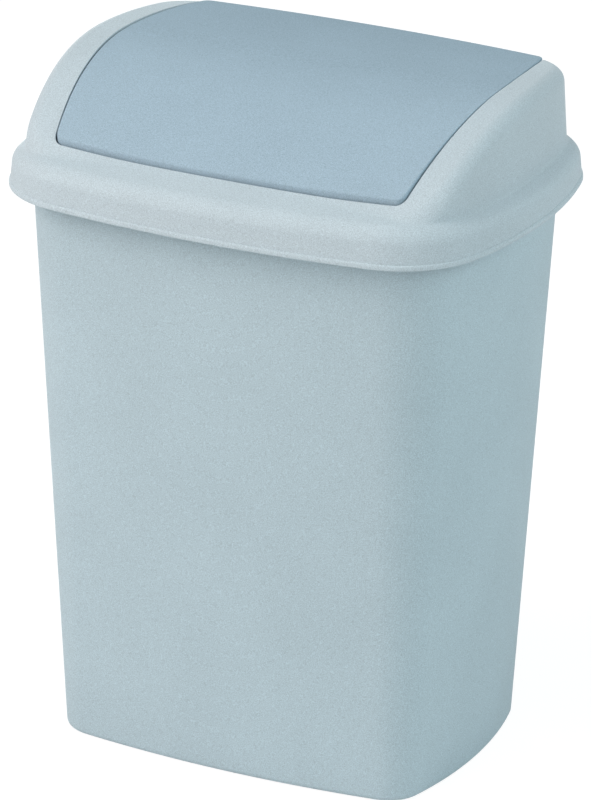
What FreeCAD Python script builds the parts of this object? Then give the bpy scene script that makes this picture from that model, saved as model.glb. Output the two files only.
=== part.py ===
"""Swing-lid bin: a drafted bucket, a lift-off lid frame and a flap that swings in the frame.

Millimetres, +Z up, origin on the floor under the middle of the bin. The front is -Y.
Every plan outline is a bowed rectangle: four corner centres, four gently bowed sides between
them, and an offset that grows it outwards, so nested outlines stay parallel.
"""
import math
import os

import FreeCAD
import Part

V = FreeCAD.Vector

# Plan of the bucket and of the lid's skirt
CORNER_X = 101.0            # corner centres, from the middle
CORNER_Y = 63.0
BOW_FRONT = 7.0             # how far the front and back bulge between the corners
BOW_SIDE = 7.5
SKIRT_OFFSET = 61.5         # outline of the skirt's lip: 340 x 263
BASE_OFFSET = 25.0          # outline of the foot: 267 x 190

# Bucket
BUCKET_WALL = 2.2
RIM_HEIGHT = 384.0
RIM_ROOM = 0.7              # between the top of the rim and the inside of the skirt
RIM_REACH = 10.0            # how far the rim stands out from the wall
RIM_DROP = 10.0             # depth of the turned-down lip of the rim
RIM_ROUND = 1.0
FOOT_ROUND = 4.5
FOOT_WIDTH = 14.0           # flat ring that the bin stands on
FOOT_LIFT = 3.0             # recess of the floor inside that ring
FLOOR_ROUND = 6.0

# Skirt and shoulder of the lid
SKIRT_LAP = 13.0            # the skirt hangs this far down over the rim
LID_WALL = 2.4
LIP_HEIGHT = 3.4
LIP_STEP = 0.7              # the lip stands proud of the band by this much
BAND_HEIGHT = 18.0
BAND_LEAN = 1.6
SHOULDER_SLOPE = 0.5
SHOULDER_ROUND = 3.5
SHOULDER_REACH = 30.0       # the shoulder runs this far inwards, under the hood

# Hood: cheeks, front rail and back wall
HOOD_X = 102.5
HOOD_Y = 70.3
HOOD_BOW = 10.0             # bulge of its back, and of its hidden front
HOOD_OFFSET = 47.5          # at the level of the skirt's bottom
HOOD_DRAFT = 0.067          # inward lean, millimetres per millimetre of height
HOOD_ROUND = 8.4
CREST_Y = 15.0
CREST_HEIGHT = 75.0         # above the skirt's bottom
HOOD_RADIUS = 177.0         # arch of the cheeks in front of the crest
HOOD_BACK_RADIUS = 553.0    # flatter arch behind it

# Flap
FLAP_RADIUS = 189.0         # the flap's arch is flatter, so its edges stand proud
FLAP_BACK_RADIUS = 652.0
FLAP_X = 112.3              # corner centres, from the flap's middle
FLAP_Y = 94.2
FLAP_MIDDLE = 5.0           # the flap's middle lies this far behind the bin's
FLAP_BOW_FRONT = 2.8
FLAP_BOW_BACK = 9.0
FLAP_BOW_SIDE = 8.8
FLAP_CORNER = 8.3
FLAP_WALL = 2.0
FLAP_EDGE = 5.0             # depth of the turned-down edge
FLAP_ROUND = 2.0
FLAP_SUNK = 0.6             # the flap lies this far under the hood's surface
FLAP_GAP = 1.3
FLAP_RIBS = 4
FLAP_RIB_PITCH = 48.0
FLAP_RIB_THICK = 1.6

# Return flange round the opening, with the two pivots
FLANGE_WALL = 2.2
FLANGE_DEPTH = 14.0
FLANGE_END = 6.0            # the flange stops this far before the back corners
PIVOT_Y = 3.65              # straight over the flap's centre of mass, so that it closes by itself
PIVOT_DROP = 8.5            # below the crest
PIN_RADIUS = 4.0
PIN_CLEARANCE = 0.05
PIN_LENGTH = 8.0            # from the flap's side
EAR_RADIUS = 9.0
EAR_WALL = 2.6
BOSS_WALL = 2.6
BOSS_FLOOR = 2.0
CHEEK_RIB_OFFSET = 34.0     # ribs in the cheeks, before and behind the pivot
CHEEK_RIB_THICK = 1.8

# Ribs under the shoulder: they rest on the rim and keep the lid central
SEAT_RIBS = 14
SEAT_RIB_THICK = 2.0
SEAT_CLEARANCE = 0.4

FAR = 400.0                 # longer than anything it cuts
DEEP = 40.0                 # how far inner voids run below the skirt
TOUCHING = 0.001            # an edge this near to a level or an arch lies on it

SKIRT_BOTTOM = RIM_HEIGHT - SKIRT_LAP
CREST_LEVEL = SKIRT_BOTTOM + CREST_HEIGHT
PIVOT_LEVEL = CREST_LEVEL - PIVOT_DROP
HOOD_RADII = (HOOD_RADIUS, HOOD_BACK_RADIUS)
FLAP_RADII = (FLAP_RADIUS, FLAP_BACK_RADIUS)


def bowed_outline(cx, cy, bows, offset, z, middle=0.0):
    """Closed wire at height z, grown by offset from the bowed rectangle on (+-cx, +-cy).

    bows are the bulges of the two sides, the back and the front.
    """
    bow_side, bow_back, bow_front = bows
    sides = []
    spans = ((cy, cx, bow_side), (cx, cy, bow_back), (cy, cx, bow_side), (cx, cy, bow_front))
    for chord, reach, bow in spans:
        radius = (chord * chord + bow * bow) / (2.0 * bow)
        sides.append((radius, math.asin(chord / radius), reach + bow - radius))
    corners = (V(cx, cy, 0), V(-cx, cy, 0), V(-cx, -cy, 0), V(cx, -cy, 0))
    right_angle = math.pi / 2.0
    level = V(0, middle, z)
    edges = []
    for turn, (radius, half, centre) in enumerate(sides):
        heading = turn * right_angle
        next_half = sides[turn - 3][1]
        ahead = V(math.cos(heading), math.sin(heading), 0)
        edges.append(arc(level + ahead * centre, radius + offset, heading - half, heading + half))
        edges.append(arc(level + corners[turn], offset, heading + half, heading + right_angle - next_half))
    return Part.Wire(edges)


def arc(centre, radius, start, end):
    """Level arc about a centre, between two headings."""
    points = []
    for angle in (start, 0.5 * (start + end), end):
        points.append(centre + V(math.cos(angle), math.sin(angle), 0) * radius)
    return Part.Arc(*points).toShape()


def body_outline(offset, z):
    return bowed_outline(CORNER_X, CORNER_Y, (BOW_SIDE, BOW_FRONT, BOW_FRONT), offset, z)


def hood_outline(offset, z):
    return bowed_outline(HOOD_X, HOOD_Y, (BOW_SIDE, HOOD_BOW, HOOD_BOW), offset, z)


def flap_outline(offset, z):
    bows = (FLAP_BOW_SIDE, FLAP_BOW_BACK, FLAP_BOW_FRONT)
    return bowed_outline(FLAP_X, FLAP_Y, bows, FLAP_CORNER + offset, z, FLAP_MIDDLE)


def between(*wires):
    """Solid with straight walls from each wire up to the next."""
    return Part.makeLoft(list(wires), True, True)


def body_prism(offset, low, high):
    return between(body_outline(offset, low), body_outline(offset, high))


def flap_prism(offset, low, high):
    return between(flap_outline(offset, low), flap_outline(offset, high))


def flat_edges(shape, z):
    """Edges that lie wholly at height z."""
    return [e for e in shape.Edges if max(abs(e.BoundBox.ZMin - z), abs(e.BoundBox.ZMax - z)) < TOUCHING]


def rim_offset():
    """The rim fits inside the skirt, where the leaning band is level with the rim's top."""
    lean = BAND_LEAN * SKIRT_LAP / BAND_HEIGHT
    return SKIRT_OFFSET - LIP_STEP - LID_WALL - lean - RIM_ROOM


def bucket_offset(z):
    """The walls lean evenly from the foot to the rim."""
    top = rim_offset() - RIM_REACH
    return BASE_OFFSET + (top - BASE_OFFSET) * z / RIM_HEIGHT


def bucket_body(inset, low, high):
    foot = body_outline(bucket_offset(low) - inset, low)
    return between(foot, body_outline(bucket_offset(high) - inset, high))


def make_bucket():
    outer = bucket_body(0.0, 0.0, RIM_HEIGHT)
    outer = outer.makeFillet(FOOT_ROUND, flat_edges(outer, 0.0))
    cavity = bucket_body(BUCKET_WALL, BUCKET_WALL, RIM_HEIGHT)
    floor_edges = flat_edges(cavity, BUCKET_WALL)
    cavity = cavity.makeFillet(FLOOR_ROUND, floor_edges)
    recess = body_prism(BASE_OFFSET - FOOT_WIDTH, 0.0, FOOT_LIFT)
    plateau = body_prism(BASE_OFFSET - FOOT_WIDTH + BUCKET_WALL, 0.0, FOOT_LIFT + BUCKET_WALL)
    rim = body_prism(rim_offset(), RIM_HEIGHT - RIM_DROP, RIM_HEIGHT)
    rim = rim.makeFillet(RIM_ROUND, flat_edges(rim, RIM_HEIGHT))
    channel = body_prism(rim_offset() - BUCKET_WALL, RIM_HEIGHT - RIM_DROP, RIM_HEIGHT - BUCKET_WALL)
    rim = rim.cut(channel)
    return outer.fuse(rim).cut(cavity.cut(plateau)).cut(recess).removeSplitter()


def arch(radii, drop):
    """Everything under an arch through the crest, with a radius before and one behind it.

    The arch is lowered by drop along its own normal.
    """
    front_radius, back_radius = radii
    back_end = CORNER_Y + BOW_FRONT + SKIRT_OFFSET
    front_centre = V(-FAR, CREST_Y, CREST_LEVEL - front_radius)
    back_centre = V(-FAR, CREST_Y, CREST_LEVEL - back_radius)
    front = front_radius - drop
    back = back_radius - drop
    bottom = SKIRT_BOTTOM - DEEP
    front_angle = math.acos((bottom - front_centre.z) / front)
    back_angle = math.asin((back_end - CREST_Y) / back)

    def on_arc(centre, radius, angle):
        return centre + V(0, math.sin(angle), math.cos(angle)) * radius
    crest = on_arc(front_centre, front, 0.0)
    toe = on_arc(front_centre, front, -front_angle)
    heel = on_arc(back_centre, back, back_angle)
    under = V(-FAR, heel.y, bottom)
    edges = [
        Part.Arc(toe, on_arc(front_centre, front, -0.5 * front_angle), crest).toShape(),
        Part.Arc(crest, on_arc(back_centre, back, 0.5 * back_angle), heel).toShape(),
        Part.makeLine(heel, under),
        Part.makeLine(under, toe),
    ]
    return Part.Face(Part.Wire(edges)).extrude(V(2.0 * FAR, 0, 0))


def arch_height(radii, drop, y):
    """Height of that arch at depth y."""
    radius = radii[0] if y < CREST_Y else radii[1]
    return CREST_LEVEL - radius + math.sqrt((radius - drop) ** 2 - (y - CREST_Y) ** 2)


def arch_edges(shape, radii, drop):
    """Edges where the arch meets walls, leaving out the seam along its crest."""
    found = []
    for edge in shape.Edges:
        middle = edge.valueAt(0.5 * (edge.FirstParameter + edge.LastParameter))
        on_arch = abs(middle.z - arch_height(radii, drop, middle.y)) < TOUCHING
        box = edge.BoundBox
        seam = max(abs(box.YMin - CREST_Y), abs(box.YMax - CREST_Y)) < TOUCHING
        if on_arch and not seam:
            found.append(edge)
    return found


def hood(inset):
    """Drafted walls closed by the arch, with a soft edge between them."""
    low = SKIRT_BOTTOM
    high = CREST_LEVEL + DEEP
    lean = HOOD_DRAFT * (high - low)
    walls = between(hood_outline(HOOD_OFFSET - inset, low), hood_outline(HOOD_OFFSET - inset - lean, high))
    body = walls.common(arch(HOOD_RADII, inset))
    return body.makeFillet(HOOD_ROUND - inset, arch_edges(body, HOOD_RADII, inset))


def tray(inset):
    """Skirt band and sloping shoulder; inset moves every surface inwards along its normal."""
    steep = math.sqrt(1.0 + SHOULDER_SLOPE ** 2)
    band_low = SKIRT_OFFSET - LIP_STEP - inset
    band_high = band_low - BAND_LEAN
    corner = SKIRT_BOTTOM + BAND_HEIGHT + inset * (SHOULDER_SLOPE - steep)
    inner_rise = SHOULDER_SLOPE * SHOULDER_REACH
    body = between(
        body_outline(band_low, SKIRT_BOTTOM),
        body_outline(band_high, corner),
        body_outline(band_high - SHOULDER_REACH, corner + inner_rise),
    )
    return body.makeFillet(SHOULDER_ROUND - inset, flat_edges(body, corner))


def pivot_axis(x):
    return V(x, PIVOT_Y, PIVOT_LEVEL)


def flap_half_width():
    return FLAP_X + FLAP_BOW_SIDE + FLAP_CORNER


def across(radius, start, length):
    """Cylinder along X on the pivot axis."""
    return Part.makeCylinder(radius, length, pivot_axis(start), V(1, 0, 0))


def plate_y(y, thick):
    """Tall plate across the bin at depth y."""
    return Part.makeBox(2 * FAR, thick, 2 * FAR, V(-FAR, y - thick / 2, 0))


def mirrored(shape):
    return shape.mirror(V(0, 0, 0), V(1, 0, 0))


def make_flange(outer):
    """Turned-down rim along the front and sides of the opening, of one depth under the surface."""
    low = SKIRT_BOTTOM
    high = CREST_LEVEL + DEEP
    ring = flap_prism(FLAP_GAP + FLANGE_WALL, low, high).cut(flap_prism(FLAP_GAP, low, high))
    band = outer.cut(outer.translated(V(0, 0, -FLANGE_DEPTH)))
    back = Part.makeBox(2 * FAR, FAR, 2 * FAR, V(-FAR, FLAP_MIDDLE + FLAP_Y - FLANGE_END, 0))
    return ring.common(band).cut(back)


def make_boss(void):
    """Blind socket behind the flange, tied to the cheek by a rib on each side."""
    start = flap_half_width() + FLAP_GAP
    length = PIN_LENGTH - FLAP_GAP + BOSS_FLOOR + PIN_CLEARANCE
    boss = across(PIN_RADIUS + BOSS_WALL, start, length)
    behind = void.cut(flap_prism(FLAP_GAP, SKIRT_BOTTOM, CREST_LEVEL + DEEP))
    right = Part.makeBox(FAR, 2 * FAR, 2 * FAR, V(0, -FAR, 0))
    lowest = PIVOT_LEVEL - PIN_RADIUS - BOSS_WALL
    above = Part.makeBox(2 * FAR, 2 * FAR, FAR, V(-FAR, -FAR, lowest))
    pieces = [boss]
    for y in (PIVOT_Y - CHEEK_RIB_OFFSET, PIVOT_Y + CHEEK_RIB_OFFSET):
        pieces.append(plate_y(y, CHEEK_RIB_THICK).common(behind).common(right).common(above))
    return pieces


def make_socket():
    length = PIN_LENGTH + PIN_CLEARANCE
    return across(PIN_RADIUS + PIN_CLEARANCE, flap_half_width(), length)


def make_seat_ribs(void):
    """Radial ribs that fill the void over and round the bucket's rim."""
    rim = body_prism(rim_offset() + SEAT_CLEARANCE, 0.0, RIM_HEIGHT)
    mouth = body_prism(bucket_offset(RIM_HEIGHT) - BUCKET_WALL, 0.0, CREST_LEVEL + DEEP)
    below_lip = body_prism(SKIRT_OFFSET, SKIRT_BOTTOM - DEEP, SKIRT_BOTTOM + LIP_HEIGHT)
    room = void.cut(mouth).cut(rim).cut(below_lip)
    under = body_prism(SKIRT_OFFSET, SKIRT_BOTTOM, SKIRT_BOTTOM + BAND_HEIGHT)
    room = room.common(under)
    ribs = []
    for index in range(SEAT_RIBS):
        angle = 360.0 * (index + 0.5) / SEAT_RIBS
        plate = Part.makeBox(FAR, SEAT_RIB_THICK, 2 * FAR, V(0, -SEAT_RIB_THICK / 2, 0))
        plate.rotate(V(0, 0, 0), V(0, 0, 1), angle)
        ribs.append(plate.common(room))
    return ribs


def make_lid_frame():
    outer = hood(0.0).fuse(tray(0.0)).removeSplitter()
    void = hood(LID_WALL).fuse(tray(LID_WALL))
    lip = body_prism(SKIRT_OFFSET, SKIRT_BOTTOM, SKIRT_BOTTOM + LIP_HEIGHT)
    opening = flap_prism(FLAP_GAP, SKIRT_BOTTOM - DEEP, CREST_LEVEL + DEEP)
    shell = outer.fuse(lip).cut(void)
    right = make_boss(void)
    added = [make_flange(outer)] + right + [mirrored(piece) for piece in right] + make_seat_ribs(void)
    socket = make_socket()
    return shell.cut(opening).fuse(added).cut([socket, mirrored(socket)])


def make_swing_flap():
    low = SKIRT_BOTTOM
    high = CREST_LEVEL + DEEP
    outer = flap_prism(0.0, low, high).common(arch(FLAP_RADII, FLAP_SUNK))
    outer = outer.makeFillet(FLAP_ROUND, arch_edges(outer, FLAP_RADII, FLAP_SUNK))
    under = arch(FLAP_RADII, FLAP_SUNK + FLAP_WALL)
    inner = flap_prism(-FLAP_WALL, low - DEEP, high).common(under)
    edge_floor = arch(FLAP_RADII, FLAP_SUNK + FLAP_EDGE)
    shell = outer.cut(inner).cut(edge_floor)
    ribs = []
    for index in range(FLAP_RIBS):
        x = FLAP_RIB_PITCH * (index - 0.5 * (FLAP_RIBS - 1))
        plate = Part.makeBox(FLAP_RIB_THICK, 2 * FAR, 2 * FAR, V(x - FLAP_RIB_THICK / 2, -FAR, 0))
        ribs.append(plate.common(inner).cut(edge_floor))
    half = flap_half_width()
    inside = half - 2 * EAR_RADIUS
    round_ear = across(EAR_RADIUS, inside, 2 * EAR_RADIUS)
    tall_ear = Part.makeBox(2 * EAR_RADIUS, 2 * EAR_RADIUS, FAR, pivot_axis(inside) - V(0, EAR_RADIUS, 0))
    side = flap_prism(0.0, low, high).cut(flap_prism(-EAR_WALL, low, high))
    ear = round_ear.fuse(tall_ear).common(side).common(outer)
    pin = across(PIN_RADIUS, half - EAR_WALL, EAR_WALL + PIN_LENGTH - PIN_CLEARANCE)
    added = ribs + [ear, pin, mirrored(ear), mirrored(pin)]
    return shell.fuse(added).removeSplitter()


def main():
    os.makedirs("parts", exist_ok=True)
    nodes = {
        "bucket": make_bucket(),
        "lid_frame": make_lid_frame(),
        "swing_flap": make_swing_flap(),
    }
    for name, shape in nodes.items():
        box = shape.BoundBox
        centre = shape.CenterOfMass if shape.ShapeType == "Solid" else shape.Solids[0].CenterOfMass
        print(name, "solids", len(shape.Solids), "valid", shape.isValid(), "volume", round(shape.Volume),
              "box", round(box.XLength, 1), round(box.YLength, 1), round(box.ZMin, 1), round(box.ZMax, 1),
              "centre", round(centre.x, 2), round(centre.y, 2), round(centre.z, 2))
        solid = shape.Solids[0] if len(shape.Solids) == 1 else shape
        solid.exportStep("parts/" + name + ".step")


main()
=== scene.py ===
import math

import bmesh
import bpy
import numpy as np
from mathutils import Matrix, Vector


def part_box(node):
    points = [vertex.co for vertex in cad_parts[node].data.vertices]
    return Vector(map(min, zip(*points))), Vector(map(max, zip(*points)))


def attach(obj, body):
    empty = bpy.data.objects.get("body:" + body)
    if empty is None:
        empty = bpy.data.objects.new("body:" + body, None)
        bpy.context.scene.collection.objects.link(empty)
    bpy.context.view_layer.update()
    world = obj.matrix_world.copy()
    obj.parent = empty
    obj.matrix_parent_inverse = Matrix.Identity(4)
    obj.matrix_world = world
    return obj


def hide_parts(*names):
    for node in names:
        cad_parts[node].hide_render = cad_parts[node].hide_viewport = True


# Looks of the swing-lid bin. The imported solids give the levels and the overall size. Each of the three
# mouldings is built again here as a fine closed mesh, with soft edges and a moulded-plastic finish.
# Lengths are in millimetres until a mesh is made. Heights in the lid are above the skirt's lower edge.

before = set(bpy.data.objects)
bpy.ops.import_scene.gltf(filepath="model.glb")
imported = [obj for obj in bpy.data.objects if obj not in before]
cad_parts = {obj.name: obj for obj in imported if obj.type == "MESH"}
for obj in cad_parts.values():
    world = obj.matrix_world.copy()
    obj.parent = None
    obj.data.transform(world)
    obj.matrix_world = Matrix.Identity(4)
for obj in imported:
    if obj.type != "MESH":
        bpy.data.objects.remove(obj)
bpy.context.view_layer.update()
MM = 0.001


def node_box(name):
    """Lowest and highest corner of a CAD node, in millimetres."""
    low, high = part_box(name)
    return [value / MM for value in low], [value / MM for value in high]


_, bucket_high = node_box("bucket")
lid_low, lid_high = node_box("lid_frame")

# Plan of the bucket and of the lid's skirt
CORNER_X = 101.0            # corner centres, from the middle
CORNER_Y = 63.0
BOW_FRONT = 7.0             # how far the front and back bulge between the corners
BOW_SIDE = 7.5
SKIRT_OFFSET = 61.5
BASE_OFFSET = 25.0

# Levels, from the frame
RIM_LEVEL = bucket_high[2]
SKIRT_LEVEL = lid_low[2]
CREST_HEIGHT = lid_high[2] - SKIRT_LEVEL

# Bucket
BUCKET_WALL = 2.2
RIM_ROOM = 0.4              # between the rim and the inside of the skirt
RIM_REACH = 10.0
RIM_DROP = 10.0
RIM_ROUND = 1.0
FOOT_ROUND = 4.5
FOOT_WIDTH = 14.0
FOOT_LIFT = 3.0
FLOOR_ROUND = 6.0
SOFT_EDGE = 0.6             # round on the free edges of all three mouldings

# Skirt and shoulder of the lid
LID_WALL = 2.4
LIP_HEIGHT = 3.4
LIP_STEP = 1.0              # the lip stands proud of the band by this much
LIP_ROUND = 2.2             # height of the bead's rounded top
LIP_EDGE = 0.3              # round on its lower edge
BAND_HEIGHT = 18.0
BAND_LEAN = 1.6
SHOULDER_SLOPE = 0.5
SHOULDER_ROUND = 3.5
FRONT_START = -60.0         # from here forwards the shoulder's edge grows softer,
FRONT_FULL = -110.0         # and from here on it is softest
FRONT_RISE = 6.0            # there it is this much higher,
FRONT_EASE = 0.22           # the shoulder behind it is this much flatter,
FRONT_SOFT = 5.0            # and the round is this much larger

# Hood
HOOD_X = 102.5
HOOD_Y = 70.3
HOOD_BOW = 10.0
HOOD_OFFSET = 47.5
HOOD_DRAFT = 0.067
HOOD_ROUND = 8.4
CREASE_ROUND = 1.6          # hollow between the cheeks and the shoulder
CREST_Y = 15.0              # depth of the highest line of the hood and of the flap
HOOD_RADIUS = 177.0
HOOD_BACK_RADIUS = 553.0

# Flap
FLAP_RADIUS = 190.5
FLAP_BACK_RADIUS = 652.0
FLAP_X = 113.7
FLAP_Y = 96.2
FLAP_MIDDLE = 5.0
FLAP_BOW_FRONT = 3.4
FLAP_BOW_BACK = 9.0
FLAP_BOW_SIDE = 9.4
FLAP_CORNER = 6.3
FLAP_WALL = 2.0
FLAP_EDGE = 5.5
FLAP_ROUND = 0.8
FLAP_LEAN = 0.12            # lean of the flap's edge: 0 is upright, 1 is square to the upper face
FLAP_SUNK = 0.6             # below the hood's surface at the crest
FLAP_GAP = 1.0
FLAP_RIBS = 4
FLAP_RIB_PITCH = 48.0
FLAP_RIB_THICK = 1.6

# Return flange round the opening, and the pivots
FLANGE_WALL = 2.2
FLANGE_DEPTH = 14.0
FLANGE_BACK = 3.0           # it is only this deep along the back
FLANGE_END = 6.0            # it is that shallow from this far before the back corners,
FLANGE_FADE = 8.0           # and changes over this length
OPENING_ROUND = 0.6
PIVOT_Y = 3.65
PIVOT_DROP = 8.5
PIN_RADIUS = 4.0
PIN_CLEARANCE = 0.05
PIN_LENGTH = 8.0
PIN_CHAMFER = 0.6
EAR_RADIUS = 9.0
EAR_WALL = 2.6
BOSS_WALL = 2.6
BOSS_FLOOR = 2.0
CHEEK_RIB_OFFSET = 34.0
CHEEK_RIB_THICK = 1.8
SEAT_RIBS = 14
SEAT_RIB_THICK = 2.0
SEAT_CLEARANCE = 0.4
BITE = 0.2                  # ribs run this far into the wall they grow from

# How finely the meshes are divided
FRONT_STEPS = 96            # along the front and the back
SIDE_STEPS = 72
CORNER_STEPS = 24
ROUND_STEPS = 7             # across a small rounded edge
WALL_STEPS = 24             # up the bucket's walls
FLAP_RIB_STEPS = 64         # along a rib under the flap
OUTER_STEPS = 84            # across the lid's outer face
INNER_STEPS = 44
DENSE_STEPS = 260           # rays through one section of the lid before it is evened out
TURN_WEIGHT = 14.0          # a turn of one radian gets as many points as this many millimetres
HALVINGS = 44               # of a ray, to find where it leaves the lid
RIB_STEPS = 16
TURN_STEPS = 48             # round a pin
RAY_BACK = 10.0             # the rays through the lid start this far inside the opening
RAY_DROP = 20.0             # and this far below the skirt's edge
RAY_REACH = 200.0
SHARP_ANGLE = math.radians(38.0)
WELD = 1e-6                 # metres
SEAT_STEPS = 4001           # along the ray that finds the rim
SLOPE_STEP = 0.01           # either side of a point, to find a direction

# Finish of the mouldings
FRAME_COLOUR = (195, 205, 211)
BUCKET_COLOUR = (191, 206, 213)
FLAP_COLOUR = (169, 187, 200)
GRAIN_SCALE = 1500.0        # cells per metre of the etched surface
SPECK_SCALE = 1600.0
CLOUD_SCALE = 14.0          # slow change of colour across a moulding
SPECK_DARK = 0.28           # specks are up to this much darker, or lighter
SPECK_LIGHT = 0.14
CLOUD_SHARE = 0.03
ROUGHNESS = 0.55
ROUGHNESS_SPREAD = 0.06
GRAIN_DEPTH = 0.00012       # metres
GRAIN_STRENGTH = 0.35
FRAME_SPECULAR = 0.25       # the flap is the dullest of the three
BUCKET_SPECULAR = 0.12
FLAP_SPECULAR = 0.0
GRAIN_DETAIL = 3.0          # octaves of the noise
SPECK_DETAIL = 2.0          # also of the slow change
NOISE_LOW = 0.25            # the noise hardly leaves this range
NOISE_HIGH = 0.75

# Camera of the photograph
IMAGE_WIDTH = 592           # pixels
SENSOR = 36.0
AZIMUTH = math.radians(26.304)
ELEVATION = math.radians(21.930)
ROLL = math.radians(0.770)
DISTANCE = 3954.75          # millimetres from the point looked at
PIXELS_PER_MM = 1.57496     # at that point
LOOK_RIGHT = 1.33           # place of the point looked at, in millimetres
LOOK_UP = 221.58

# Light: broad soft lamps, most of them in front, and an even surround. Lengths here are in metres.
SURROUND = 0.253
SURROUND_TINT = (0.90, 1.02, 1.05)
LAMP_DISTANCE = 3.0
LAMP_SIZE = 1.6
WARM = (1.03, 0.99, 0.97)
COOL = (0.87, 1.04, 1.07)
LAMPS = (                   # name, heading from the front, height above level, watts, tint
    ("key_left", -50.0, 35.0, 28.5, WARM),
    ("key_low", -30.0, 20.0, 14.5, WARM),
    ("key_high", -25.0, 55.0, 17.0, WARM),
    ("overhead", 0.0, 78.0, 11.0, COOL),
    ("fill_right", 60.0, 25.0, 9.9, COOL),
    ("side_right", 95.0, 32.0, 21.0, COOL),
    ("rear_right", 130.0, 40.0, 3.0, COOL),
    ("rear_low", -145.0, 4.0, 9.0, COOL),
)
FLOOR_SIZE = 14.0
FLOOR_LEVEL = -0.0002       # a hair under the foot ring, so that the two faces never coincide
FLOOR_COLOUR = 0.85
FLOOR_SHOW = 0.2            # share of the floor's own shading that the camera sees
FLOOR_WHITE = 0.5           # shading at which the floor is seen as white
AIM = (0.0, 0.0, 0.25)

UP = np.array([0.0, 0.0, 1.0])


def directions(angles):
    """Unit vectors in plan."""
    return np.stack([np.cos(angles), np.sin(angles)], 1)


class Plan:
    """Bowed rectangle: four corner centres joined by bowed sides. An offset grows it outwards."""

    def __init__(self, cx, cy, bow_front, bow_side, bow_back, middle=0.0):
        self.cx = cx
        self.cy = cy
        self.middle = middle
        self.right = self.bow(cy, cx, bow_side)
        self.back = self.bow(cx, cy, bow_back)
        self.front = self.bow(cx, cy, bow_front)

    @staticmethod
    def bow(half_chord, reach, bulge):
        """Radius, half angle and centre, towards the middle, of one bowed side."""
        radius = (half_chord * half_chord + bulge * bulge) / (2.0 * bulge)
        return radius, math.asin(half_chord / radius), reach + bulge - radius

    def ring(self, offset):
        """Points once round the outline, the same number on each side and corner at any offset."""
        points = []
        sides = [self.right, self.back, self.right, self.front]
        for turn, (radius, half, middle) in enumerate(sides):
            next_half = sides[(turn + 1) % 4][1]
            steps = FRONT_STEPS if turn % 2 else SIDE_STEPS
            heading = 0.5 * math.pi * turn
            ahead = np.array([math.cos(heading), math.sin(heading)])
            angles = heading + half * np.linspace(-1.0, 1.0, steps, endpoint=False)
            points.append(ahead * middle + (radius + offset) * directions(angles))
            corner_x = self.cx if turn in (0, 3) else -self.cx
            corner_y = self.cy if turn < 2 else -self.cy
            last = heading + 0.5 * math.pi - next_half
            angles = np.linspace(heading + half, last, CORNER_STEPS, endpoint=False)
            points.append(np.array([corner_x, corner_y]) + offset * directions(angles))
        return np.concatenate(points) + np.array([0.0, self.middle])

    def offset_at(self, x, y):
        """Offset of the outline that passes through a point."""
        ax = np.abs(x)
        y = y - self.middle
        ay = np.abs(y)
        side_radius, side_half, side_centre = self.right
        ends = zip(self.front, self.back)
        radius, half, centre = [np.where(y < 0.0, ahead, behind) for ahead, behind in ends]
        on_side = np.arctan2(ay, ax - side_centre) <= side_half
        on_end = np.arctan2(ax, ay - centre) <= half
        side = np.hypot(ax - side_centre, ay) - side_radius
        end = np.hypot(ax, ay - centre) - radius
        corner = np.hypot(ax - self.cx, ay - self.cy)
        return np.where(on_side, side, np.where(on_end, end, corner))

    def patch(self):
        """Grid over the bowed rectangle itself, whose border is the ring of offset zero."""
        core = self.ring(0.0)
        side = SIDE_STEPS
        front = FRONT_STEPS
        back_start = side + CORNER_STEPS
        left_start = back_start + front + CORNER_STEPS
        front_start = left_start + side + CORNER_STEPS
        right_edge = core[0:side + 1]
        back_edge = core[back_start:back_start + front + 1][::-1]
        left_edge = core[left_start:left_start + side + 1][::-1]
        front_edge = core[front_start:front_start + front + 1]
        u = np.linspace(0.0, 1.0, front + 1)[None, :, None]
        v = np.linspace(0.0, 1.0, side + 1)[:, None, None]
        across = (1.0 - v) * front_edge[None] + v * back_edge[None]
        along = (1.0 - u) * left_edge[:, None] + u * right_edge[:, None]
        low = (1.0 - u) * front_edge[0] + u * front_edge[-1]
        high = (1.0 - u) * back_edge[0] + u * back_edge[-1]
        return across + along - (1.0 - v) * low - v * high


BODY = Plan(CORNER_X, CORNER_Y, BOW_FRONT, BOW_SIDE, BOW_FRONT)
HOOD = Plan(HOOD_X, HOOD_Y, HOOD_BOW, BOW_SIDE, HOOD_BOW)
FLAP = Plan(FLAP_X, FLAP_Y, FLAP_BOW_FRONT, FLAP_BOW_SIDE, FLAP_BOW_BACK, FLAP_MIDDLE)
RIM_LEAN = BAND_LEAN * (RIM_LEVEL - SKIRT_LEVEL) / BAND_HEIGHT
RIM_OFFSET = SKIRT_OFFSET - LIP_STEP - LID_WALL - RIM_ROOM - RIM_LEAN
WALL_TOP = RIM_OFFSET - RIM_REACH
FLAP_HALF = FLAP_X + FLAP_BOW_SIDE + FLAP_CORNER
PIVOT_HEIGHT = CREST_HEIGHT - PIVOT_DROP


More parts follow.
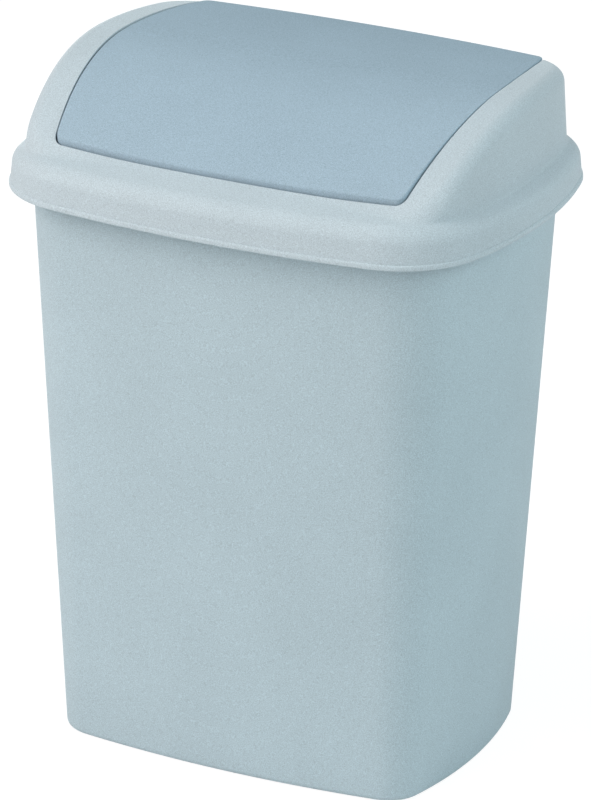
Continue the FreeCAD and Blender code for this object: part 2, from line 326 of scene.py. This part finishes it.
class Skin:
    """Gathers vertices and faces of one closed mesh, in millimetres."""

    def __init__(self):
        self.points = []
        self.faces = []
        self.count = 0

    def add(self, points):
        """Takes in points and gives the number of the first."""
        start = self.count
        self.points.append(points.reshape(-1, 3))
        self.count += len(self.points[-1])
        return start

    def grid(self, points, wrap_rows=False, wrap_columns=False):
        """Quads over an array of rows of points."""
        rows, columns = points.shape[:2]
        start = self.add(points)
        for i in range(rows if wrap_rows else rows - 1):
            above = (i + 1) % rows
            for j in range(columns if wrap_columns else columns - 1):
                beside = (j + 1) % columns
                a = start + i * columns
                b = start + above * columns
                self.faces.append((a + j, a + beside, b + beside, b + j))

    def prism(self, outline, shift):
        """Solid between a flat polygon and its copy moved by shift."""
        count = len(outline)
        start = self.add(np.concatenate([outline, outline + shift]))
        self.faces.append(tuple(range(start, start + count)))
        self.faces.append(tuple(range(start + 2 * count - 1, start + count - 1, -1)))
        for i in range(count):
            j = (i + 1) % count
            self.faces.append((start + i, start + count + i, start + count + j, start + j))

    def build(self, name, material):
        """Object made of all that was gathered, welded and shaded smooth."""
        mesh = bpy.data.meshes.new(name)
        mesh.from_pydata((np.concatenate(self.points) * MM).tolist(), [], self.faces)
        editable = bmesh.new()
        editable.from_mesh(mesh)
        bmesh.ops.remove_doubles(editable, verts=editable.verts, dist=WELD)
        bmesh.ops.recalc_face_normals(editable, faces=editable.faces)
        editable.to_mesh(mesh)
        editable.free()
        mesh.shade_smooth()
        mesh.set_sharp_from_angle(angle=SHARP_ANGLE)
        mesh.materials.append(material)
        piece = bpy.data.objects.new(name, mesh)
        bpy.context.scene.collection.objects.link(piece)
        return piece


def at_height(ring, z):
    """Plan points lifted to a height, which may differ from point to point."""
    return np.concatenate([ring, np.broadcast_to(np.asarray(z, float), ring.shape[:-1])[..., None]], -1)


def lifted(points):
    """Heights in the lid turned into heights above the floor."""
    return points + UP * SKIRT_LEVEL


def quarter(radius):
    """Pairs (in from the edge, down from the top) over a rounded edge, from the top to the side."""
    turn = np.linspace(0.0, 0.5 * math.pi, ROUND_STEPS)
    return list(zip(radius * (1.0 - np.sin(turn)), radius * (1.0 - np.cos(turn))))


def rounded_both(a, b, radius):
    """Inside both, with the edge between them rounded."""
    ua = np.maximum(radius + a, 0.0)
    ub = np.maximum(radius + b, 0.0)
    return np.minimum(-radius, np.maximum(a, b)) + np.hypot(ua, ub)


def rounded_either(a, b, radius):
    """Inside either, with the corner between them filled by a hollow round."""
    ua = np.maximum(radius - a, 0.0)
    ub = np.maximum(radius - b, 0.0)
    return np.maximum(radius, np.minimum(a, b)) - np.hypot(ua, ub)


def smooth_step(value, start, end):
    """0 at the start, 1 at the end, with soft turns between."""
    share = np.clip((value - start) / (end - start), 0.0, 1.0)
    return share * share * (3.0 - 2.0 * share)


def lid_depth(points):
    """Signed distance to the lid's outer face, negative inside."""
    x, y, z = points[..., 0], points[..., 1], points[..., 2]
    wall = HOOD.offset_at(x, y) - HOOD_OFFSET + HOOD_DRAFT * z
    radius = np.where(y < CREST_Y, HOOD_RADIUS, HOOD_BACK_RADIUS)
    roof = np.hypot(y - CREST_Y, z - CREST_HEIGHT + radius) - radius
    hood = rounded_both(wall, roof, HOOD_ROUND)
    offset = BODY.offset_at(x, y)
    band_foot = SKIRT_OFFSET - LIP_STEP
    lean = BAND_LEAN / BAND_HEIGHT
    band = (offset - band_foot + lean * z) / math.hypot(1.0, lean)
    front = smooth_step(y, FRONT_START, FRONT_FULL)
    slope = SHOULDER_SLOPE - FRONT_EASE * front
    rise = z - BAND_HEIGHT - FRONT_RISE * front - slope * (band_foot - BAND_LEAN - offset)
    shoulder = rise / np.hypot(1.0, slope)
    tray = rounded_both(band, shoulder, SHOULDER_ROUND + FRONT_SOFT * front)
    return rounded_either(hood, tray, CREASE_ROUND)


def surface_along(start, direction, inset):
    """Distance along each ray to the lid's face, moved inwards by inset."""
    near = np.zeros(np.broadcast_shapes(start.shape, direction.shape)[:-1])
    far = np.full_like(near, RAY_REACH)
    for _ in range(HALVINGS):
        middle = 0.5 * (near + far)
        inside = lid_depth(start + direction * middle[..., None]) < -inset
        near = np.where(inside, middle, near)
        far = np.where(inside, far, middle)
    return 0.5 * (near + far)


class LidSection:
    """Upright planes round the lid, each through a point of the opening and one of the skirt."""

    def __init__(self):
        self.edge = FLAP.ring(FLAP_CORNER + FLAP_GAP)
        heading = BODY.ring(SKIRT_OFFSET) - self.edge
        heading = heading / np.linalg.norm(heading, axis=1, keepdims=True)
        self.heading = at_height(heading, 0.0)
        self.foot = at_height(self.edge, -RAY_DROP)

    def at(self, out, z):
        """Points at a distance out from the opening and a height, both per plane."""
        out = np.broadcast_to(np.asarray(out, float), (len(self.edge),))
        return at_height(self.edge, z) + self.heading * out[:, None]

    def height(self, out, inset):
        """Height of the lid's face, moved inwards by inset, at a distance out from the opening."""
        start = self.foot + self.heading * out
        return surface_along(start, UP, inset) - RAY_DROP

    def reach(self, z, inset):
        """Distance out from the opening to the lid's face, moved inwards by inset, at a height."""
        start = at_height(self.edge, z) - self.heading * RAY_BACK
        return surface_along(start, self.heading, inset) - RAY_BACK

    def face(self, out_high, low, inset, steps):
        """Rows from the opening's side down to a height, spread by length and by turn."""
        eye = self.foot - self.heading * RAY_BACK
        first = np.arctan2(self.height(out_high, inset) + RAY_DROP, RAY_BACK + out_high)
        last = np.arctan2(low + RAY_DROP, RAY_BACK + self.reach(low, inset))
        share = np.linspace(0.0, 1.0, DENSE_STEPS)
        angles = first[:, None] + (last - first)[:, None] * share
        rays = np.cos(angles)[..., None] * self.heading[:, None] + np.sin(angles)[..., None] * UP
        points = eye[:, None] + rays * surface_along(eye[:, None], rays, inset)[..., None]
        return even_rows(points, steps)


def even_rows(points, steps):
    """Each row of points walked again in equal steps, closer where it turns."""
    legs = np.diff(points, axis=1)
    lengths = np.linalg.norm(legs, axis=2)
    unit = legs / lengths[..., None]
    cosines = np.clip((unit[:, 1:] * unit[:, :-1]).sum(-1), -1.0, 1.0)
    turns = np.zeros_like(lengths)
    turns[:, 1:] += 0.5 * np.arccos(cosines)
    turns[:, :-1] += 0.5 * np.arccos(cosines)
    walked = np.cumsum(lengths + TURN_WEIGHT * turns, axis=1)
    walked = np.concatenate([np.zeros((len(points), 1)), walked], 1)
    rows = []
    for path, distance in zip(points, walked):
        wanted = np.linspace(0.0, distance[-1], steps)
        rows.append(np.stack([np.interp(wanted, distance, path[:, k]) for k in range(3)], 1))
    return np.stack(rows)


def outward(points):
    """Plan direction in which the body's outlines grow."""
    x, y = points[:, 0], points[:, 1]
    gx = BODY.offset_at(x + SLOPE_STEP, y) - BODY.offset_at(x - SLOPE_STEP, y)
    gy = BODY.offset_at(x, y + SLOPE_STEP) - BODY.offset_at(x, y - SLOPE_STEP)
    slope = np.stack([gx, gy, np.zeros_like(gx)], 1)
    return slope / np.linalg.norm(slope, axis=1, keepdims=True)


def make_lid_shell():
    """One closed skin: opening edge, outer face, lip, inner face and the flange back to the opening."""
    section = LidSection()
    edge_top = section.height(0.0, 0.0)
    rounded = section.height(OPENING_ROUND, 0.0)
    back = FLAP_MIDDLE + FLAP_Y - FLANGE_END
    fade = smooth_step(section.edge[:, 1], back - FLANGE_FADE, back)
    flange_low = edge_top - FLANGE_DEPTH - (FLANGE_BACK - FLANGE_DEPTH) * fade
    rows = [section.at(0.0, flange_low)]
    for t in np.linspace(0.0, 1.0, ROUND_STEPS):
        corner = 2.0 * t * (1.0 - t)
        z = (1.0 - t) ** 2 * (edge_top - OPENING_ROUND) + corner * edge_top + t ** 2 * rounded
        rows.append(section.at(t ** 2 * OPENING_ROUND, z))
    outer = section.face(OPENING_ROUND, LIP_HEIGHT, 0.0, OUTER_STEPS)
    rows += [outer[:, k] for k in range(1, OUTER_STEPS)]
    band_end = outer[:, -1]
    out = outward(band_end)
    lip = [(LIP_STEP * (1.0 - away), LIP_HEIGHT - LIP_ROUND * down) for away, down in quarter(1.0)]
    lip += [(LIP_STEP - away, down) for away, down in reversed(quarter(LIP_EDGE))]
    lip += [(SOFT_EDGE - LID_WALL - away, down) for away, down in quarter(SOFT_EDGE)]
    for grow, z in lip:
        row = band_end + out * grow
        row[:, 2] = z
        rows.append(row)
    inner = section.face(FLANGE_WALL, 2.0 * SOFT_EDGE, LID_WALL, INNER_STEPS)
    rows += [inner[:, k] for k in range(INNER_STEPS - 1, -1, -1)]
    rows.append(section.at(FLANGE_WALL, flange_low))
    skin = Skin()
    skin.grid(lifted(np.stack(rows)), wrap_rows=True, wrap_columns=True)
    return skin


def lathe(skin, profile):
    """Turns (x, radius) pairs about the pivot axis, on the right and mirrored on the left."""
    angles = np.linspace(0.0, 2.0 * math.pi, TURN_STEPS, endpoint=False)
    for side in (1.0, -1.0):
        rows = []
        for x, radius in profile:
            y = PIVOT_Y + radius * np.cos(angles)
            z = PIVOT_HEIGHT + radius * np.sin(angles)
            rows.append(np.stack([np.full_like(y, side * x), y, z], 1))
        skin.grid(lifted(np.stack(rows)), wrap_columns=True)


def make_lid_ribs():
    """Sockets for the pins, ribs in the cheeks and the ribs that seat the lid on the rim."""
    skin = Skin()
    mouth = FLAP_HALF + FLAP_GAP + FLANGE_WALL - BITE
    floor = FLAP_HALF + PIN_LENGTH + PIN_CLEARANCE
    bore = PIN_RADIUS + PIN_CLEARANCE
    boss = PIN_RADIUS + BOSS_WALL
    lathe(skin, [(floor, 0.0), (floor, bore), (mouth, bore), (mouth, boss), (floor + BOSS_FLOOR, boss),
                 (floor + BOSS_FLOOR, 0.0)])
    low = PIVOT_HEIGHT - boss
    for y in (PIVOT_Y - CHEEK_RIB_OFFSET, PIVOT_Y + CHEEK_RIB_OFFSET):
        start = np.array([0.0, y, low])
        wall = float(surface_along(start, np.array([1.0, 0.0, 0.0]), LID_WALL - BITE))
        side_radius, _, side_centre = FLAP.right
        near = math.sqrt((side_radius + FLAP_CORNER + FLAP_GAP) ** 2 - (y - FLAP_MIDDLE) ** 2)
        near += side_centre + FLANGE_WALL - BITE
        x = np.linspace(near, wall, RIB_STEPS)
        feet = np.stack([x, np.full_like(x, y), np.full_like(x, low)], 1)
        tops = feet + UP * surface_along(feet, UP, LID_WALL - BITE)[:, None]
        outline = np.concatenate([feet[[0, -1]], tops[::-1]])
        for side in (1.0, -1.0):
            flipped = outline * np.array([side, 1.0, 1.0])
            shift = np.array([0.0, CHEEK_RIB_THICK, 0.0])
            skin.prism(lifted(flipped - 0.5 * shift), shift)
    rim_height = RIM_LEVEL - SKIRT_LEVEL
    for index in range(SEAT_RIBS):
        angle = 2.0 * math.pi * (index + 0.5) / SEAT_RIBS
        ahead = np.array([math.cos(angle), math.sin(angle), 0.0])
        beside = np.array([-math.sin(angle), math.cos(angle), 0.0])
        path = np.linspace(0.0, RAY_REACH, SEAT_STEPS)
        offsets = BODY.offset_at(path * ahead[0], path * ahead[1])
        rim = np.interp(RIM_OFFSET + SEAT_CLEARANCE, offsets, path)
        near = np.interp(WALL_TOP - BUCKET_WALL, offsets, path)
        far = float(surface_along(UP * LIP_HEIGHT, ahead, LID_WALL - BITE))
        top_far = float(surface_along(UP * rim_height, ahead, LID_WALL - BITE))
        reach = np.linspace(near, top_far, RIB_STEPS)
        feet = ahead * reach[:, None] + UP * rim_height
        rise = np.minimum(surface_along(feet, UP, LID_WALL - BITE), BAND_HEIGHT - rim_height)
        tops = feet + UP * rise[:, None]
        seat = ahead * rim
        foot = UP * LIP_HEIGHT
        outline = [feet[0], seat + UP * rim_height, seat + foot, ahead * far + foot]
        outline = np.concatenate([np.array(outline), tops[::-1]])
        shift = beside * SEAT_RIB_THICK
        skin.prism(lifted(outline - 0.5 * shift), shift)
    return skin


def flap_arch(y):
    """Radius of the flap's arch at depth y, before it is sunk under the hood's surface."""
    return np.where(y < CREST_Y, FLAP_RADIUS, FLAP_BACK_RADIUS)


def flap_height(drop, y):
    """Height at depth y, lowered by drop along the normal of the flap's upper face."""
    radius = flap_arch(y)
    return CREST_HEIGHT - radius + np.sqrt((radius - (FLAP_SUNK + drop)) ** 2 - (y - CREST_Y) ** 2)


def under_flap(plan, drop):
    """Plan points put at a depth below the flap's upper face, leaning as the flap's edge does."""
    y = plan[..., 1]
    radius = flap_arch(y) - FLAP_SUNK
    moved = np.stack([plan[..., 0], y + FLAP_LEAN * drop * (CREST_Y - y) / radius], -1)
    return at_height(moved, flap_height(drop, moved[..., 1]))


def make_flap_shell():
    """Arched panel with a rounded, turned-down edge, closed underneath."""
    def row(inward, drop):
        return under_flap(FLAP.ring(FLAP_CORNER - inward), drop)
    profile = [(FLAP_CORNER, 0.0)]
    over = np.linspace(FLAP_CORNER, FLAP_ROUND, ROUND_STEPS)
    profile += [(inward, 0.0) for inward in over[1:-1]]
    profile += quarter(FLAP_ROUND)
    profile += [(inward, FLAP_EDGE - down) for inward, down in reversed(quarter(SOFT_EDGE))]
    profile += [(FLAP_WALL - inward, FLAP_EDGE - down) for inward, down in quarter(SOFT_EDGE)]
    profile += [(FLAP_WALL + inward, FLAP_WALL + down) for inward, down in reversed(quarter(FLAP_WALL))]
    under = np.linspace(2.0 * FLAP_WALL, FLAP_CORNER, ROUND_STEPS)
    profile += [(inward, FLAP_WALL) for inward in under[1:]]
    skin = Skin()
    skin.grid(lifted(np.stack([row(*pair) for pair in profile])), wrap_columns=True)
    for drop in (0.0, FLAP_WALL):
        skin.grid(lifted(under_flap(FLAP.patch(), drop)))
    return skin


def make_flap_ribs():
    """Stiffening ribs under the panel, and an ear with a pin on each side."""
    skin = Skin()
    for index in range(FLAP_RIBS):
        x = FLAP_RIB_PITCH * (index - 0.5 * (FLAP_RIBS - 1))
        ends = []
        for radius, _, centre in (FLAP.front, FLAP.back):
            ends.append(centre + math.sqrt((radius + FLAP_CORNER - FLAP_WALL + BITE) ** 2 - x * x))
        y = FLAP_MIDDLE + np.linspace(-ends[0], ends[1], FLAP_RIB_STEPS)
        lane = np.stack([np.full_like(y, x - 0.5 * FLAP_RIB_THICK), y], 1)
        top = under_flap(lane, FLAP_WALL - BITE)
        low = under_flap(lane, FLAP_EDGE)
        skin.prism(lifted(np.concatenate([low, top[::-1]])), np.array([FLAP_RIB_THICK, 0.0, 0.0]))
    turn = np.linspace(math.pi, 2.0 * math.pi, TURN_STEPS // 2)
    y = PIVOT_Y + EAR_RADIUS * np.cos(turn)
    z = PIVOT_HEIGHT + EAR_RADIUS * np.sin(turn)
    top_y = np.linspace(PIVOT_Y + EAR_RADIUS, PIVOT_Y - EAR_RADIUS, RIB_STEPS)
    top_z = flap_height(FLAP_WALL - BITE, top_y)
    ear_y = np.concatenate([y, top_y])
    ear_z = np.concatenate([z, top_z])
    outline = np.stack([np.zeros_like(ear_y), ear_y, ear_z], 1)
    for side in (1.0, -1.0):
        inner = np.array([side * (FLAP_HALF - EAR_WALL), 0.0, 0.0])
        skin.prism(lifted(outline + inner), np.array([side * (EAR_WALL - BITE), 0.0, 0.0]))
    tip = FLAP_HALF + PIN_LENGTH - PIN_CLEARANCE
    root = FLAP_HALF - EAR_WALL + BITE
    lathe(skin, [(root, 0.0), (root, PIN_RADIUS), (tip - PIN_CHAMFER, PIN_RADIUS),
                 (tip, PIN_RADIUS - PIN_CHAMFER), (tip, 0.0)])
    return skin


def make_bucket():
    """Wall, rim and floor as one profile carried round the outline, closed by two floor sheets."""
    def wall_offset(z):
        return BASE_OFFSET + (WALL_TOP - BASE_OFFSET) * z / RIM_LEVEL

    def wall(low, high, inset):
        levels = np.linspace(low, high, WALL_STEPS)
        return [(wall_offset(z) - inset, z) for z in levels]
    ring_inner = BASE_OFFSET - FOOT_WIDTH
    plateau = FOOT_LIFT + BUCKET_WALL
    profile = [(0.0, FOOT_LIFT), (0.5 * ring_inner, FOOT_LIFT), (ring_inner, FOOT_LIFT)]
    profile += [(ring_inner + away, down) for away, down in reversed(quarter(SOFT_EDGE))]
    profile += [(wall_offset(FOOT_ROUND) - away, down) for away, down in quarter(FOOT_ROUND)]
    under_rim = RIM_LEVEL - BUCKET_WALL
    profile += wall(FOOT_ROUND, under_rim, 0.0)[1:]
    lip_inner = RIM_OFFSET - BUCKET_WALL
    rim_low = RIM_LEVEL - RIM_DROP
    profile += [(lip_inner, under_rim)]
    profile += [(lip_inner + away, rim_low + down) for away, down in reversed(quarter(SOFT_EDGE))]
    profile += [(RIM_OFFSET - away, rim_low + down) for away, down in quarter(SOFT_EDGE)]
    profile += [(RIM_OFFSET - away, RIM_LEVEL - down) for away, down in reversed(quarter(RIM_ROUND))]
    inside = WALL_TOP - BUCKET_WALL
    profile += [(inside + away, RIM_LEVEL - down) for away, down in quarter(RIM_ROUND)]
    floor_side = BUCKET_WALL + FLOOR_ROUND
    profile += wall(RIM_LEVEL - RIM_ROUND, floor_side, BUCKET_WALL)[1:]
    corner = wall_offset(floor_side) - BUCKET_WALL
    hollow = list(reversed(quarter(FLOOR_ROUND)))
    profile += [(corner - away, BUCKET_WALL + down) for away, down in hollow[1:]]
    step = ring_inner + BUCKET_WALL
    profile += [(step, BUCKET_WALL)]
    profile += [(step - away, plateau - down) for away, down in reversed(quarter(SOFT_EDGE))]
    profile += [(0.5 * step, plateau), (0.0, plateau)]
    skin = Skin()
    skin.grid(np.stack([at_height(BODY.ring(offset), z) for offset, z in profile]), wrap_columns=True)
    for z in (FOOT_LIFT, plateau):
        skin.grid(at_height(BODY.patch(), z))
    return skin


def linear(red, green, blue):
    """Screen colour, 0 to 255, as the linear colour that a shader takes."""
    values = [channel / 255.0 for channel in (red, green, blue)]
    return [v / 12.92 if v <= 0.04045 else ((v + 0.055) / 1.055) ** 2.4 for v in values]


def plastic(name, colour, specular):
    """Matte moulded plastic: etched grain, faint specks and a slow drift of shade."""
    material = bpy.data.materials.new(name)
    material.use_nodes = True
    nodes = material.node_tree.nodes
    links = material.node_tree.links
    shader = nodes["Principled BSDF"]
    shader.inputs["Specular IOR Level"].default_value = specular
    place = nodes.new("ShaderNodeTexCoord").outputs["Object"]

    def noise(scale, detail):
        node = nodes.new("ShaderNodeTexNoise")
        node.inputs["Scale"].default_value = scale
        node.inputs["Detail"].default_value = detail
        links.new(place, node.inputs["Vector"])
        return node.outputs["Fac"]

    def spread(source, low, high):
        node = nodes.new("ShaderNodeMapRange")
        node.inputs["From Min"].default_value = NOISE_LOW
        node.inputs["From Max"].default_value = NOISE_HIGH
        node.inputs["To Min"].default_value = low
        node.inputs["To Max"].default_value = high
        links.new(source, node.inputs["Value"])
        return node.outputs["Result"]
    grain = noise(GRAIN_SCALE, GRAIN_DETAIL)
    specks = spread(noise(SPECK_SCALE, SPECK_DETAIL), 1.0 - SPECK_DARK, 1.0 + SPECK_LIGHT)
    cloud = spread(noise(CLOUD_SCALE, SPECK_DETAIL), 1.0 - CLOUD_SHARE, 1.0 + CLOUD_SHARE)
    shade = nodes.new("ShaderNodeMath")
    shade.operation = "MULTIPLY"
    links.new(specks, shade.inputs[0])
    links.new(cloud, shade.inputs[1])
    tint = nodes.new("ShaderNodeVectorMath")
    tint.operation = "SCALE"
    tint.inputs[0].default_value = linear(*colour)
    links.new(shade.outputs[0], tint.inputs["Scale"])
    links.new(tint.outputs[0], shader.inputs["Base Color"])
    rough = spread(grain, ROUGHNESS - ROUGHNESS_SPREAD, ROUGHNESS + ROUGHNESS_SPREAD)
    links.new(rough, shader.inputs["Roughness"])
    bump = nodes.new("ShaderNodeBump")
    bump.inputs["Strength"].default_value = GRAIN_STRENGTH
    bump.inputs["Distance"].default_value = GRAIN_DEPTH
    links.new(grain, bump.inputs["Height"])
    links.new(bump.outputs["Normal"], shader.inputs["Normal"])
    return material


frame_plastic = plastic("frame_plastic_finish", FRAME_COLOUR, FRAME_SPECULAR)
bucket_plastic = plastic("bucket_plastic_finish", BUCKET_COLOUR, BUCKET_SPECULAR)
flap_plastic = plastic("flap_plastic_finish", FLAP_COLOUR, FLAP_SPECULAR)

bucket_shell = make_bucket().build("bucket_shell", bucket_plastic)
lid_shell = make_lid_shell().build("lid_shell", frame_plastic)
lid_ribs = make_lid_ribs().build("lid_ribs", frame_plastic)
flap_shell = make_flap_shell().build("flap_shell", flap_plastic)
flap_ribs = make_flap_ribs().build("flap_ribs", flap_plastic)

for piece, body, slot in (
        (bucket_shell, "bucket", "bucket_plastic"),
        (lid_shell, "lid", "frame_plastic"),
        (lid_ribs, "lid", "frame_plastic"),
        (flap_shell, "flap", "flap_plastic"),
        (flap_ribs, "flap", "flap_plastic")):
    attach(piece, body)
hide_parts("bucket")
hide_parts("lid_frame")
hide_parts("swing_flap")


def placed(x_axis, y_axis, z_axis, origin):
    """Matrix of an object with these axes, at that place in metres."""
    rows = np.eye(4)
    rows[:3] = np.stack([x_axis, y_axis, z_axis, origin], 1)
    return Matrix(rows.tolist())


def add_camera():
    """Camera fitted to the photograph."""
    flat = math.cos(ELEVATION)
    backward = np.array([math.sin(AZIMUTH) * flat, -math.cos(AZIMUTH) * flat, math.sin(ELEVATION)])
    level = np.array([math.cos(AZIMUTH), math.sin(AZIMUTH), 0.0])
    upward = np.cross(backward, level)
    right = level * math.cos(ROLL) + upward * math.sin(ROLL)
    top = upward * math.cos(ROLL) - level * math.sin(ROLL)
    eye = level * LOOK_RIGHT + UP * LOOK_UP + backward * DISTANCE
    data = bpy.data.cameras.new("photo_camera")
    data.sensor_fit = "HORIZONTAL"
    data.sensor_width = SENSOR
    data.lens = SENSOR * PIXELS_PER_MM * DISTANCE / IMAGE_WIDTH
    camera = bpy.data.objects.new("photo_camera", data)
    camera.matrix_world = placed(right, top, backward, eye * MM)
    bpy.context.scene.collection.objects.link(camera)
    bpy.context.scene.camera = camera


def add_lamp(name, heading, height, power, tint):
    """Soft round lamp, aimed at the bin. Heading 0 is straight in front, 90 is the bin's right."""
    turn = math.radians(heading)
    lift = math.radians(height)
    away = np.array([math.sin(turn) * math.cos(lift), -math.cos(turn) * math.cos(lift), math.sin(lift)])
    place = np.array(AIM) + away * LAMP_DISTANCE
    level = np.array([math.cos(turn), math.sin(turn), 0.0])
    data = bpy.data.lights.new(name, "AREA")
    data.shape = "DISK"
    data.size = LAMP_SIZE
    data.energy = power
    data.color = tint
    lamp = bpy.data.objects.new(name, data)
    lamp.matrix_world = placed(level, np.cross(away, level), away, place)
    bpy.context.scene.collection.objects.link(lamp)


def seen_directly(nodes, links):
    """1 for a ray from the camera, a reflected one or a refracted one, and otherwise 0."""
    path = nodes.new("ShaderNodeLightPath")
    total = path.outputs["Is Camera Ray"]
    for name in ("Is Glossy Ray", "Is Transmission Ray"):
        either = nodes.new("ShaderNodeMath")
        either.operation = "MAXIMUM"
        links.new(total, either.inputs[0])
        links.new(path.outputs[name], either.inputs[1])
        total = either.outputs[0]
    return total


def add_surround():
    """World that lights evenly and is seen as white."""
    world = bpy.data.worlds.new("studio")
    world.use_nodes = True
    nodes = world.node_tree.nodes
    links = world.node_tree.links
    fill = nodes["Background"]
    fill.inputs["Color"].default_value = (*SURROUND_TINT, 1.0)
    fill.inputs["Strength"].default_value = SURROUND
    white = nodes.new("ShaderNodeBackground")
    white.inputs["Color"].default_value = (1.0, 1.0, 1.0, 1.0)
    either = nodes.new("ShaderNodeMixShader")
    links.new(seen_directly(nodes, links), either.inputs["Fac"])
    links.new(fill.outputs[0], either.inputs[1])
    links.new(white.outputs[0], either.inputs[2])
    links.new(either.outputs[0], nodes["World Output"].inputs["Surface"])
    bpy.context.scene.world = world


def add_floor():
    """Pale floor that bounces light and is seen as white with the bin's shadow on it."""
    half = 0.5 * FLOOR_SIZE
    mesh = bpy.data.meshes.new("floor")
    plan = ((-half, -half), (half, -half), (half, half), (-half, half))
    mesh.from_pydata([(x, y, FLOOR_LEVEL) for x, y in plan], [], [(0, 1, 2, 3)])
    floor = bpy.data.objects.new("floor", mesh)
    bpy.context.scene.collection.objects.link(floor)
    material = bpy.data.materials.new("pale_floor")
    material.use_nodes = True
    nodes = material.node_tree.nodes
    links = material.node_tree.links
    nodes.remove(nodes["Principled BSDF"])
    bounce = nodes.new("ShaderNodeBsdfDiffuse")
    bounce.inputs["Color"].default_value = (FLOOR_COLOUR, FLOOR_COLOUR, FLOOR_COLOUR, 1.0)
    shown = nodes.new("ShaderNodeBsdfDiffuse")
    shown.inputs["Color"].default_value = (FLOOR_SHOW, FLOOR_SHOW, FLOOR_SHOW, 1.0)
    glow = nodes.new("ShaderNodeEmission")
    glow.inputs["Strength"].default_value = 1.0 - FLOOR_WHITE * FLOOR_SHOW
    seen = nodes.new("ShaderNodeAddShader")
    links.new(shown.outputs[0], seen.inputs[0])
    links.new(glow.outputs[0], seen.inputs[1])
    either = nodes.new("ShaderNodeMixShader")
    links.new(seen_directly(nodes, links), either.inputs["Fac"])
    links.new(bounce.outputs[0], either.inputs[1])
    links.new(seen.outputs[0], either.inputs[2])
    links.new(either.outputs[0], nodes["Material Output"].inputs["Surface"])
    mesh.materials.append(material)


add_camera()
for lamp in LAMPS:
    add_lamp(*lamp)
add_surround()
add_floor()
bpy.context.scene.view_settings.view_transform = "Standard"
